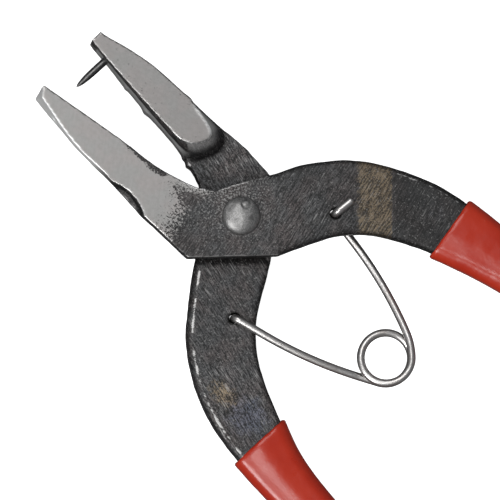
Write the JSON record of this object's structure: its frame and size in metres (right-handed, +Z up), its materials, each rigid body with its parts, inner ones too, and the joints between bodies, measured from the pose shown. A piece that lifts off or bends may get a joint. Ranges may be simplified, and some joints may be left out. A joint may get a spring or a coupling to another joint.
{
  "type": "snap setter pliers",
  "caption": "Hand pliers with a lap joint, bowed handles in dipped sleeves, a coil return spring and a piercing needle that enters a hole in the opposite jaw.",
  "frame": {"origin": "on the pivot axis, on the underside of the flat rivet foot that the pliers lie on", "axes": "+X to the nose, +Z up along the pivot axis, +Y to the side of the upper lever's jaw"},
  "size_m": [0.163, 0.073, 0.0133],
  "materials": {
    "forged_steel": "forged black with ground jaw faces",
    "rivet_steel": "peened",
    "needle_steel": "hardened",
    "spring_wire": "drawn wire",
    "dipped_vinyl": "glossy dipped"
  },
  "bodies": {
    "upper": {"front_lever": "forged_steel", "pivot_rivet": "rivet_steel", "front_grip_sleeve": "dipped_vinyl"},
    "lower": {"rear_lever": "forged_steel", "piercing_needle": "needle_steel", "rear_grip_sleeve": "dipped_vinyl"},
    "spring_leg_lower": {"spring_lower_half": "spring_wire"},
    "spring_leg_upper": {"spring_upper_half": "spring_wire"}
  },
  "joints": [
    {"name": "jaw_pivot", "type": "hinge", "parent": "upper", "child": "lower", "pos_m": [0, 0, 0.00642], "axis": [0, 0, 1], "range_deg": [0, 16], "stiffness_Nm_per_rad": 0.27},
    {"name": "spring_lower_eye", "type": "hinge", "parent": "lower", "child": "spring_leg_lower", "pos_m": [-0.0126, 0.0156, 0.00738], "axis": [0, 0, 1], "range_deg": [-12, 0]},
    {"name": "spring_coil", "type": "hinge", "parent": "spring_leg_lower", "child": "spring_leg_upper", "pos_m": [-0.0403, 0.0013, 0.00642], "axis": [0, 0, 1], "range_deg": [0, 9]}
  ],
  "couplings": [
    {"joint": "spring_lower_eye", "follows": "jaw_pivot", "ratio": -0.6973},
    {"joint": "spring_coil", "follows": "jaw_pivot", "ratio": 0.5051}
  ]
}
